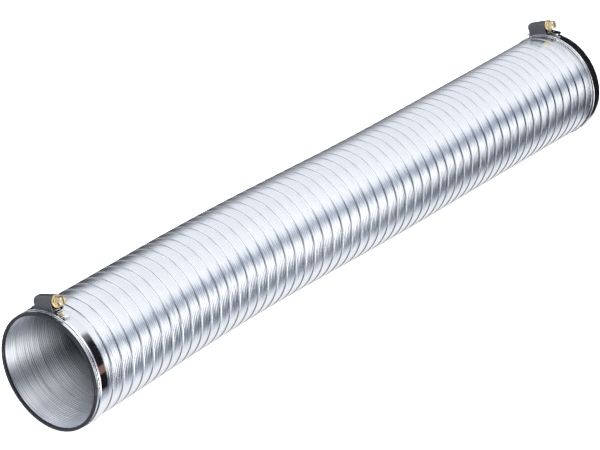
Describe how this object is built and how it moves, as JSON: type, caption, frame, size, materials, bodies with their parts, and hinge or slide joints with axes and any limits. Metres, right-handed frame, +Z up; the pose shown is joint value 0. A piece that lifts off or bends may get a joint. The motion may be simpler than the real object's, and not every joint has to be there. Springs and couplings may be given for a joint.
{
  "type": "flexible air duct",
  "caption": "Semi-rigid spirally wound aluminium air duct with a worm-drive hose clamp at each end; it bends, stretches and shortens, and the clamp screws turn.",
  "frame": {"origin": "on the floor below the middle of the duct, at the bottom centre of the bounding box", "axes": "+X along the duct from the near (open, dark-ringed) end to the far end, +Z up through the clamp housings' side, +Y away from the screw heads"},
  "size_m": [0.6, 0.0856, 0.0981],
  "materials": {
    "aluminium": "bright satin rolled strip with fine ribs and lock seams",
    "edge_ring": "dark grey, satin",
    "band_steel": "polished strip",
    "housing_steel": "dark pressed steel, satin",
    "screw_brass": "yellow passivated, semi-bright"
  },
  "bodies": {
    "duct_01": {"duct_section_01": "aluminium", "near_edge_ring": "edge_ring"},
    "duct_02": {"duct_section_02": "aluminium"},
    "duct_03": {"duct_section_03": "aluminium"},
    "duct_04": {"duct_section_04": "aluminium"},
    "duct_05": {"duct_section_05": "aluminium"},
    "duct_06": {"duct_section_06": "aluminium"},
    "duct_07": {"duct_section_07": "aluminium"},
    "duct_08": {"duct_section_08": "aluminium"},
    "duct_09": {"duct_section_09": "aluminium"},
    "duct_10": {"duct_section_10": "aluminium"},
    "duct_11": {"duct_section_11": "aluminium"},
    "duct_12": {"duct_section_12": "aluminium", "far_edge_ring": "edge_ring"},
    "near_clamp": {"near_band": "band_steel", "near_saddle": "housing_steel", "near_housing": "housing_steel"},
    "near_screw": {"near_screw": "screw_brass"},
    "near_tail": {"near_band_tail": "band_steel"},
    "far_clamp": {"far_band": "band_steel", "far_saddle": "housing_steel", "far_housing": "housing_steel"},
    "far_screw": {"far_screw": "screw_brass"},
    "far_tail": {"far_band_tail": "band_steel"}
  },
  "joints": [
    {"name": "side_1", "type": "hinge", "parent": "duct_02", "child": "duct_01", "pos_m": [-0.25, 0, 0.04279], "axis": [0, 0, 1], "range_deg": [-30, 30], "deforming": ["duct_section_01"]},
    {"name": "lift_1", "type": "hinge", "parent": "duct_03", "child": "duct_02", "pos_m": [-0.2, 0, 0.04279], "axis": [0, 1, 0], "range_deg": [-30, 30], "deforming": ["duct_section_02"]},
    {"name": "stretch_1", "type": "slide", "parent": "duct_04", "child": "duct_03", "axis": [-1, 0, 0], "range_m": [-0.014, 0.003], "deforming": ["duct_section_03"]},
    {"name": "side_2", "type": "hinge", "parent": "duct_05", "child": "duct_04", "pos_m": [-0.1, 0, 0.04279], "axis": [0, 0, 1], "range_deg": [-30, 30], "deforming": ["duct_section_04"]},
    {"name": "lift_2", "type": "hinge", "parent": "duct_06", "child": "duct_05", "pos_m": [-0.05, 0, 0.04279], "axis": [0, 1, 0], "range_deg": [-30, 30], "deforming": ["duct_section_05"]},
    {"name": "stretch_2", "type": "slide", "parent": "duct_06", "child": "duct_07", "axis": [1, 0, 0], "range_m": [-0.014, 0.003], "deforming": ["duct_section_06"]},
    {"name": "lift_3", "type": "hinge", "parent": "duct_07", "child": "duct_08", "pos_m": [0.05, 0, 0.04279], "axis": [0, 1, 0], "range_deg": [-30, 30], "deforming": ["duct_section_07"]},
    {"name": "side_3", "type": "hinge", "parent": "duct_08", "child": "duct_09", "pos_m": [0.1, 0, 0.04279], "axis": [0, 0, 1], "range_deg": [-30, 30], "deforming": ["duct_section_08"]},
    {"name": "stretch_3", "type": "slide", "parent": "duct_09", "child": "duct_10", "axis": [1, 0, 0], "range_m": [-0.014, 0.003], "deforming": ["duct_section_09"]},
    {"name": "lift_4", "type": "hinge", "parent": "duct_10", "child": "duct_11", "pos_m": [0.2, 0, 0.04279], "axis": [0, 1, 0], "range_deg": [-30, 30], "deforming": ["duct_section_10"]},
    {"name": "side_4", "type": "hinge", "parent": "duct_11", "child": "duct_12", "pos_m": [0.25, 0, 0.04279], "axis": [0, 0, 1], "range_deg": [-30, 30], "deforming": ["duct_section_11", "duct_section_12"]},
    {"name": "near_clamp_turn", "type": "hinge", "parent": "duct_01", "child": "near_clamp", "pos_m": [-0.2914, 0, 0.04279], "axis": [1, 0, 0], "continuous": true},
    {"name": "near_screw_turn", "type": "hinge", "parent": "near_clamp", "child": "near_screw", "pos_m": [-0.2914, 0.00548, 0.09088], "axis": [0, 0.9563, -0.2924], "range_deg": [-1080, 360]},
    {"name": "near_tail_slip", "type": "hinge", "parent": "near_clamp", "child": "near_tail", "pos_m": [-0.2914, 0, 0.04279], "axis": [1, 0, 0], "range_deg": [-10.2, 3.5]},
    {"name": "far_clamp_turn", "type": "hinge", "parent": "duct_12", "child": "far_clamp", "pos_m": [0.2944, 0, 0.04279], "axis": [1, 0, 0], "continuous": true},
    {"name": "far_screw_turn", "type": "hinge", "parent": "far_clamp", "child": "far_screw", "pos_m": [0.2944, 0.01455, 0.08895], "axis": [0, 0.9336, -0.3584], "range_deg": [-1080, 360]},
    {"name": "far_tail_slip", "type": "hinge", "parent": "far_clamp", "child": "far_tail", "pos_m": [0.2944, 0, 0.04279], "axis": [1, 0, 0], "range_deg": [-10.2, 3.5]}
  ],
  "couplings": [
    {"joint": "near_tail_slip", "follows": "near_screw_turn", "ratio": 0.009289},
    {"joint": "far_tail_slip", "follows": "far_screw_turn", "ratio": 0.009289}
  ]
}
